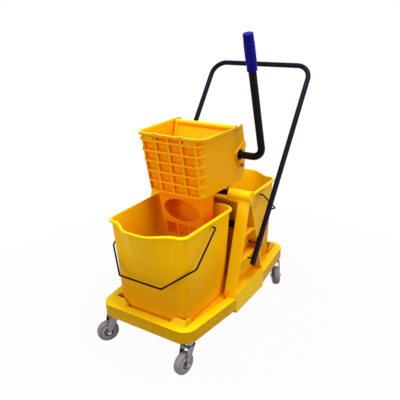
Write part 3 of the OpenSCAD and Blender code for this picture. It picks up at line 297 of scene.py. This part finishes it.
def plated_steel(name, main, dull, rough_low, rough_high):
    """Zinc plated steel: cloudy spangle, faint brushing and duller patches."""
    finish = Finish(name, metallic=1.0)
    spangle = finish.ranged(finish.noise(160, 3), 0.35, 0.65)
    cloud = finish.ranged(finish.noise(30, 4), 0.35, 0.7)
    colour = finish.mix(finish.times(spangle, 0.5), main, dull)
    colour = finish.mix(finish.times(cloud, 0.55), colour, dull)
    rough = finish.ranged(cloud, 0, 1, rough_low, rough_high)
    return finish.apply(colour, rough, finish.bump(finish.noise(900, 2, (1, 1, 0.1)), 0.12, 0.0002))


def rubber(name, main, dusty, rough_low, rough_high, gloss=0.3):
    """Solid rubber or soft plastic: fine pores, and dust in patches and on the edges."""
    finish = Finish(name, specular=gloss)
    dust = finish.ranged(finish.noise(70, 5), 0.4, 0.75)
    colour = finish.mix(finish.times(dust, 0.5), main, dusty)
    colour = finish.mix(finish.times(finish.edges(0.53, 0.64), 0.45), colour, dusty)
    rough = finish.ranged(dust, 0, 1, rough_low, rough_high)
    return finish.apply(colour, rough, finish.bump(finish.noise(1400, 2), 0.2, 0.0003))


MATERIALS = {
    # The yellow plastic's low colour is painted shade towards the floor.
    "yellow_plastic": moulded_yellow(
        "yellow_plastic", (0.97, 0.54, 0.001), (0.96, 0.50, 0.001),
        (0.98, 0.53, 0.001), (0.99, 0.32, 0.001), (0.99, 0.66, 0.004), low=(0.66, 0.255, 0.001)),
    # The tray's yellow is darkened as painted shade for the lower light near the floor; its tops get painted
    # light.
    "tray_plastic": moulded_yellow(
        "tray_plastic", (0.64, 0.32, 0.001), (0.62, 0.31, 0.001),
        (0.74, 0.36, 0.001), (0.99, 0.26, 0.001), (0.99, 0.70, 0.003)),
    "stand_plastic": moulded_yellow(
        "stand_plastic", (0.96, 0.57, 0.001), (0.95, 0.54, 0.001),
        (0.96, 0.54, 0.001), (0.99, 0.26, 0.001), (0.99, 0.70, 0.004)),
    "wringer_plastic": moulded_yellow(
        "wringer_plastic", (0.94, 0.43, 0.001), (0.93, 0.40, 0.001),
        (0.97, 0.41, 0.001), (0.99, 0.15, 0.001), (0.96, 0.66, 0.005), (0.99, 0.17, 0.001)),
    # The skirt's deeper orange is painted shade for the inside of the wringer.
    "skirt_plastic": moulded_yellow(
        "skirt_plastic", (0.99, 0.33, 0.001), (0.99, 0.30, 0.001),
        (0.99, 0.29, 0.001), (0.99, 0.16, 0.001), (0.98, 0.44, 0.001)),
    "cap_plastic": moulded_yellow(
        "cap_plastic", (0.97, 0.57, 0.002), (0.96, 0.52, 0.001),
        (0.98, 0.42, 0.001), (0.99, 0.20, 0.001), (0.99, 0.70, 0.008)),
    # The purple in both black paint colours is a painted sheen; the lighter one also marks dust and rubbed edges.
    "black_paint": coated_steel(
        "black_paint", (0.006, 0.003, 0.010), (0.014, 0.008, 0.022), 0.26, 0.36, 700, 0.0002, 0.06),
    "bail_paint": coated_steel(
        "bail_paint", (0.003, 0.003, 0.004), (0.006, 0.006, 0.008), 0.40, 0.55, 900, 0.0002, 0.03),
    "lever_paint": coated_steel(
        "lever_paint", (0.005, 0.0035, 0.0025), (0.009, 0.0065, 0.005), 0.42, 0.58, 1300, 0.0003, 0.07),
    "black_plastic": rubber("black_plastic", (0.006, 0.006, 0.007), (0.015, 0.015, 0.015), 0.4, 0.55, 0.06),
    "dark_steel": plated_steel("dark_steel", (0.14, 0.14, 0.15), (0.06, 0.06, 0.065), 0.34, 0.5),
    "zinc_steel": plated_steel("zinc_steel", (0.50, 0.50, 0.53), (0.30, 0.30, 0.32), 0.24, 0.42),
    "fork_plate": plated_steel("fork_plate", (0.27, 0.26, 0.27), (0.15, 0.145, 0.15), 0.20, 0.34),
    "blue_grip": rubber("blue_grip", (0.003, 0.003, 0.19), (0.006, 0.006, 0.24), 0.38, 0.52, 0.06),
    "grey_tyre": rubber("grey_tyre", (0.25, 0.205, 0.225), (0.34, 0.29, 0.31), 0.5, 0.68),
    "grey_hub": rubber("grey_hub", (0.36, 0.36, 0.38), (0.27, 0.26, 0.27), 0.34, 0.5),
    "navy_guard": rubber("navy_guard", (0.018, 0.026, 0.11), (0.05, 0.055, 0.13), 0.3, 0.45),
}


# Pieces

WELD = 0.01 * MM
FLAT = radians(0.6)
SHARP = radians(32)
CREASE = radians(50)

# The body that each CAD node rides on
BODY_OF = {node: body for body, nodes in frame["record"]["behaviour"]["bodies"].items() for node in nodes}


def add_piece(name, bm, finish, body, *replaced):
    """Turn a bmesh into a smooth shaded piece that rides on a body and stands for CAD nodes."""
    for face in bm.faces:
        face.smooth = True
    for edge in bm.edges:
        edge.smooth = len(edge.link_faces) != 2 or edge.calc_face_angle() < CREASE
    mesh = bpy.data.meshes.new(name)
    bm.to_mesh(mesh)
    bm.free()
    mesh.materials.append(MATERIALS[finish])
    piece = bpy.data.objects.new(name, mesh)
    bpy.context.scene.collection.objects.link(piece)
    normals = piece.modifiers.new("normals", "WEIGHTED_NORMAL")
    normals.keep_sharp = True
    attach(piece, body)
    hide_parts(*replaced)
    return piece


def node_mesh(node):
    """The node's own shape with its faces sewn together and its flat faces whole."""
    bm = bmesh.new()
    bm.from_mesh(frame["nodes"][node].data)
    bmesh.ops.remove_doubles(bm, verts=bm.verts, dist=WELD)
    bmesh.ops.dissolve_limit(bm, angle_limit=FLAT, verts=bm.verts, edges=bm.edges)
    return bm


def ease_edges(bm, width, segments):
    """Round the sharp edges."""
    edges = [e for e in bm.edges if len(e.link_faces) == 2 and e.calc_face_angle() > SHARP]
    if edges:
        bmesh.ops.bevel(
            bm, geom=edges, offset=width, offset_type="OFFSET", segments=segments, profile=0.5,
            affect="EDGES", clamp_overlap=True)


def dress(node, finish, width=0.0, segments=2):
    """The node's own shape with eased edges and a finish."""
    bm = node_mesh(node)
    if width:
        ease_edges(bm, width, segments)
    return add_piece(node + "_finish", bm, finish, BODY_OF[node], node)


def loft(bm, rings):
    """A closed skin of quads through rings of points, with a face at each end."""
    rows = [[bm.verts.new(point) for point in ring] for ring in rings]
    count = len(rows[0])
    for lower, upper in zip(rows, rows[1:]):
        for i in range(count):
            j = (i + 1) % count
            bm.faces.new((lower[i], lower[j], upper[j], upper[i]))
    bm.faces.new(rows[0])
    bm.faces.new(rows[-1])


def lathe(bm, profile, axes, count=64):
    """Turn a profile of (radius, height) points round the Z axis of axes; radius 0 is a pole."""
    turns = [2 * pi * i / count for i in range(count)]
    rows = []
    for radius, height in profile:
        if rows and (radius, height) == profile[0]:
            rows.append(rows[0])
        elif radius == 0:
            rows.append([bm.verts.new(axes @ Vector((0, 0, height)))])
        else:
            points = [Vector((radius * cos(t), radius * sin(t), height)) for t in turns]
            rows.append([bm.verts.new(axes @ point) for point in points])
    for lower, upper in zip(rows, rows[1:]):
        for i in range(count):
            j = (i + 1) % count
            below = (lower[i % len(lower)], lower[j % len(lower)])
            above = (upper[j % len(upper)], upper[i % len(upper)])
            bm.faces.new(list(dict.fromkeys(below + above)))


def axes_at(origin, direction):
    """Axes at a point, with Z along a direction."""
    turn = Vector(direction).to_track_quat("Z", "Y").to_matrix().to_4x4()
    return Matrix.Translation(origin) @ turn


def joint_axes(name):
    """Axes at a joint, with Z along the line that it turns about."""
    joint = next(j for j in frame["joints"] if j["name"] == name)
    return axes_at(Vector(joint["pos_m"]), joint["axis"])


# Buckets: walls that lean in towards the floor, a rolled rim and a pouring lip

FLOOR_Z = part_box("front_bucket")[0].z
RIM_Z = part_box("front_bucket")[1].z
RIM_NEAR, RIM_FAR = 19 * MM, 322 * MM
NEAR_HALF, FAR_HALF = 156 * MM, 151 * MM
SIDE_LEAN, FAR_LEAN, NEAR_LEAN = 11 * MM, 9 * MM, 24 * MM
BODY_CORNER, RIM_CORNER = 36 * MM, 29 * MM
BUCKET_WALL = 3 * MM
ROLL_W, ROLL_H = 6 * MM, 11 * MM
ROLL_TOP_R, ROLL_LOW_R = 6 * MM, 5 * MM
LIP_REACH, LIP_H, LIP_POWER = 46 * MM, 160 * MM, 1.2
LIP_FLAT, LIP_END = 0.22, 1.0
FLOOR_FILLET = 6 * MM
BUCKET_FLOOR_T = 4 * MM
PIVOT_Y, PIVOT_DROP = 167 * MM, 19 * MM
EAR_L, EAR_R, EAR_HOLE_R = 5 * MM, 6.5 * MM, 3.05 * MM
CORNER_STEPS = 14
LIP_STEPS = 56
WALL_STEPS = 24
ROLL_STEPS = 5
EAR_SIDES = 40
EAR_EDGE = EAR_R / 5
EAR_EDGE_CUT = 0.3 * EAR_EDGE


def corner_arc(before, corner, after, radius):
    """The points of the round that joins two sides of an outline at a corner."""
    u = (Vector(before) - Vector(corner)).normalized()
    v = (Vector(after) - Vector(corner)).normalized()
    half = u.angle(v) / 2
    middle = Vector(corner) + (u + v).normalized() * radius / sin(half)
    start = Vector(corner) + u * radius / tan(half) - middle
    sweep = pi - 2 * half
    return [middle + Matrix.Rotation(sweep * i / CORNER_STEPS, 2) @ start for i in range(CORNER_STEPS + 1)]


def lip_depth(z, across):
    """How far the pouring lip stands out at a height and a share of the far wall's half width."""
    side = min(1, max(0, (LIP_END - abs(across)) / (LIP_END - LIP_FLAT)))
    swell = 0.5 - 0.5 * cos(pi * side)
    return LIP_REACH * swell * max(0, 1 - (RIM_Z - z) / LIP_H) ** LIP_POWER


def bucket_ring(z, grow):
    """The front bucket's outline at a height, moved outwards by grow."""
    low = (RIM_Z - z) / (RIM_Z - FLOOR_Z)
    far_w = FAR_HALF - ROLL_W + grow - SIDE_LEAN * low
    near_w = NEAR_HALF - ROLL_W + grow - SIDE_LEAN * low
    far_y = -(RIM_FAR - ROLL_W + grow - FAR_LEAN * low)
    near_y = -(RIM_NEAR + ROLL_W - grow + NEAR_LEAN * low)
    rise = max(0, 1 - (RIM_Z - z) / LIP_H)
    near_r = BODY_CORNER + min(grow, 0)
    far_r = near_r + (RIM_CORNER - BODY_CORNER) * rise
    radii = (far_r, far_r, near_r, near_r)
    corners = [(-far_w, far_y), (far_w, far_y), (near_w, near_y), (-near_w, near_y)]
    arcs = [corner_arc(corners[i - 1], corners[i], corners[(i + 1) % 4], radii[i]) for i in range(4)]
    left, right = arcs[0][-1], arcs[1][0]
    lip = [left.lerp(right, i / LIP_STEPS) for i in range(1, LIP_STEPS)]
    for i, point in enumerate(lip, 1):
        point.y -= lip_depth(z, 2 * i / LIP_STEPS - 1)
    outline = arcs[0] + lip + arcs[1] + arcs[2] + arcs[3]
    return [STAND_MIDDLE + Vector((x, y, z)) for x, y in outline]


def bucket_profile():
    """Heights and outward moves from the middle of the outer floor over the rim to the inner floor."""
    quarter = [pi / 2 * i / ROLL_STEPS for i in range(ROLL_STEPS + 1)]
    wall_low = FLOOR_Z + FLOOR_FILLET
    wall_h = RIM_Z - ROLL_H - FLOOR_Z - FLOOR_FILLET
    wall_levels = [wall_low + wall_h * i / WALL_STEPS for i in range(WALL_STEPS + 1)]
    foot = [(FLOOR_Z + FLOOR_FILLET * (1 - cos(a)), -FLOOR_FILLET * (1 - sin(a))) for a in quarter[:-1]]
    outer = [(z, 0) for z in wall_levels]
    roll_low = [
        (RIM_Z - ROLL_H + ROLL_LOW_R * (1 - cos(a)), ROLL_W - ROLL_LOW_R * (1 - sin(a))) for a in quarter]
    roll_top = [
        (RIM_Z - ROLL_TOP_R * (1 - sin(a)), ROLL_W - ROLL_TOP_R * (1 - cos(a))) for a in quarter]
    lip_edge = BUCKET_WALL / 2
    brink = [
        (RIM_Z - lip_edge * (1 - cos(a)), -BUCKET_WALL + lip_edge * (1 - sin(a))) for a in quarter]
    inner_floor = FLOOR_Z + BUCKET_FLOOR_T
    inner = [(z, -BUCKET_WALL) for z in reversed(wall_levels) if z > inner_floor + FLOOR_FILLET]
    well = [
        (inner_floor + FLOOR_FILLET * (1 - sin(a)), -BUCKET_WALL - FLOOR_FILLET * (1 - cos(a)))
        for a in quarter]
    return foot + outer + roll_low + roll_top + brink + inner + well


def bail_ear(bm, side):
    """The round ear on a side wall that holds one end of the bail."""
    low = PIVOT_DROP / (RIM_Z - FLOOR_Z)
    along = (PIVOT_Y - RIM_NEAR) / (RIM_FAR - RIM_NEAR)
    wall = NEAR_HALF + (FAR_HALF - NEAR_HALF) * along - ROLL_W - SIDE_LEAN * low
    root = wall - BUCKET_WALL / 2
    hole_end = wall - BUCKET_WALL / 6
    end = wall + EAR_L
    profile = [
        (0, root), (EAR_R + EAR_EDGE, root), (EAR_R + EAR_EDGE, wall), (EAR_R, wall + EAR_EDGE),
        (EAR_R, end - EAR_EDGE), (EAR_R - EAR_EDGE_CUT, end - EAR_EDGE_CUT), (EAR_R - EAR_EDGE, end),
        (EAR_HOLE_R, end), (EAR_HOLE_R, hole_end), (0, hole_end)]
    middle = STAND_MIDDLE + Vector((0, -PIVOT_Y, RIM_Z - PIVOT_DROP))
    lathe(bm, profile, axes_at(middle, (side, 0, 0)), EAR_SIDES)


def make_bucket(node, turned):
    bm = bmesh.new()
    loft(bm, [bucket_ring(z, grow) for z, grow in bucket_profile()])
    for side in (-1, 1):
        bail_ear(bm, side)
    if turned:
        bmesh.ops.rotate(bm, verts=bm.verts, cent=STAND_MIDDLE, matrix=Matrix.Rotation(pi, 3, "Z"))
    bmesh.ops.recalc_face_normals(bm, faces=bm.faces)
    return add_piece(node + "_shell", bm, "yellow_plastic", BODY_OF[node], node)


# Grip: a soft sleeve with raised dots round its middle

LEVER_LEAN = radians(16.6)
LEVER_LENGTH = 408.9 * MM
GRIP_LENGTH = 110 * MM
GRIP_R = 15.5 * MM
GRIP_BORE_R = 12.02 * MM
GRIP_CAP = 6 * MM
GRIP_ROUND = 2.5 * MM
ROUND_STEPS = 4
FOOT_IN, FOOT_UP = 0.8 * MM, 0.4 * MM
TOP_DISH = 0.6 * MM
NUDGE = 1e-9
DOT_HEIGHT = 1.15 * MM
DOT_ROWS = 10
DOTS_ROUND = 13
DOT_POWER = 0.6
KNURL_LOW, KNURL_HIGH = 24 * MM, 26 * MM
GRIP_RINGS = 150
GRIP_SIDES = 104


def dot_rise(turn, share):
    """Height of the raised dots, as a share, at a turn round the grip and a share of the knurled length."""
    if not 0 < share < 1:
        return 0
    row = share * DOT_ROWS
    column = turn * DOTS_ROUND / (2 * pi) + 0.5 * (int(row) % 2)
    across = 2 * (column - int(column)) - 1
    along = 2 * (row - int(row)) - 1
    return max(0, 1 - across ** 2 - along ** 2) ** DOT_POWER


def make_grip():
    lo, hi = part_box("lever_grip")
    shaft = joint_axes("lever_pull").translation
    foot = Vector(((lo.x + hi.x) / 2, shaft.y, shaft.z))
    axes = axes_at(foot, (0, -sin(LEVER_LEAN), cos(LEVER_LEAN)))
    start, end = LEVER_LENGTH - GRIP_LENGTH, LEVER_LENGTH
    heights = [start + (GRIP_LENGTH - GRIP_ROUND) * i / GRIP_RINGS for i in range(GRIP_RINGS + 1)]
    bm = bmesh.new()
    rings = []

    def ring(height, radius):
        points = []
        share = (height - start - KNURL_LOW) / (GRIP_LENGTH - KNURL_LOW - KNURL_HIGH)
        for i in range(GRIP_SIDES):
            turn = 2 * pi * i / GRIP_SIDES
            r = radius + (DOT_HEIGHT * dot_rise(turn, share) if radius == GRIP_R else 0)
            points.append(axes @ Vector((r * cos(turn), r * sin(turn), height)))
        rings.append(points)

    ring(end - GRIP_CAP, GRIP_BORE_R)
    ring(start, GRIP_BORE_R)
    ring(start, GRIP_R - FOOT_IN)
    for height in heights:
        ring(height + FOOT_UP if height == start else height, GRIP_R)
    for i in range(1, ROUND_STEPS + 1):
        a = pi / 2 * i / ROUND_STEPS
        ring(end - GRIP_ROUND * (1 - sin(a)), GRIP_R - GRIP_ROUND * (1 - cos(a)) - NUDGE)
    ring(end - TOP_DISH, GRIP_R - 2 * GRIP_ROUND)
    loft(bm, rings)
    bmesh.ops.recalc_face_normals(bm, faces=bm.faces)
    return add_piece("lever_grip_sleeve", bm, "blue_grip", "lever", "lever_grip")


# Tyres: the outline of one half as radius and half width, from the hub to the tread

WHEEL_R = 37.49 * MM
TYRE_SIDES = 96
TYRE_EDGE = [
    (24.0, 11.0), (24.8, 11.8), (28.2, 11.95), (28.7, 11.5), (29.4, 11.5), (29.9, 11.95),
    (32.6, 11.8), (34.3, 11.0), (35.7, 9.4), (36.6, 7.2), (37.2, 4.6), (37.45, 2.2)]


def make_tyre(corner):
    half = [(r * MM, w * MM) for r, w in TYRE_EDGE]
    profile = half + [(WHEEL_R, 0)] + [(r, -w) for r, w in reversed(half)]
    bm = bmesh.new()
    lathe(bm, profile + [profile[0]], joint_axes("roll_" + corner), TYRE_SIDES)
    bmesh.ops.recalc_face_normals(bm, faces=bm.faces)
    return add_piece("tyre_" + corner + "_tread", bm, "grey_tyre", "wheel_" + corner, "tyre_" + corner)


# The whole trolley: the pieces made above, then the rest with their edges eased

TRAY_EASE, STAND_EASE = 3.0 * MM, 1.5 * MM
HOPPER_EASE, SKIRT_EASE, PLATE_EASE = 1.8 * MM, 0.8 * MM, 1.5 * MM
FITTING_EASE, PIN_EASE = 0.4 * MM, 0.3 * MM
FORK_EASE, HUB_EASE, GUARD_EASE = 0.8 * MM, 0.5 * MM, 0.2 * MM
ROUND_EDGE = 3

make_bucket("front_bucket", False)
make_bucket("rear_bucket", True)
make_grip()
for corner in CASTERS:
    make_tyre(corner)
for tray in ("front_tray", "rear_tray"):
    dress(tray, "tray_plastic", TRAY_EASE, ROUND_EDGE)
for stand in ("side_stand_left", "side_stand_right"):
    dress(stand, "stand_plastic", STAND_EASE)
dress("boss_caps", "cap_plastic", STAND_EASE)
dress("wringer_hopper", "wringer_plastic", HOPPER_EASE, ROUND_EDGE)
dress("wringer_skirt", "skirt_plastic", SKIRT_EASE)
dress("press_plate", "wringer_plastic", PLATE_EASE, ROUND_EDGE)
for tube in ("upper_cross_tube", "lower_cross_tube", "push_handle"):
    dress(tube, "black_paint")
for bail in ("front_bail", "rear_bail"):
    dress(bail, "bail_paint")
dress("lever_tube", "lever_paint")
for fitting in ("handle_bolts", "handle_nuts", "stop_bolt", "frame_screws", "crank_arms"):
    dress(fitting, "dark_steel", FITTING_EASE)
for fitting in ("handle_plugs", "lever_bushes"):
    dress(fitting, "black_plastic", FITTING_EASE)
for fitting in ("caster_stems", "caster_races", "hinge_rod", "crank_pins"):
    dress(fitting, "zinc_steel", PIN_EASE)
for corner in CASTERS:
    dress("fork_" + corner, "fork_plate", FORK_EASE)
    dress("axle_bolt_" + corner, "zinc_steel", FITTING_EASE)
    dress("axle_nut_" + corner, "zinc_steel", FITTING_EASE)
    dress("hub_" + corner, "grey_hub", HUB_EASE)
    dress("guards_" + corner, "navy_guard", GUARD_EASE)
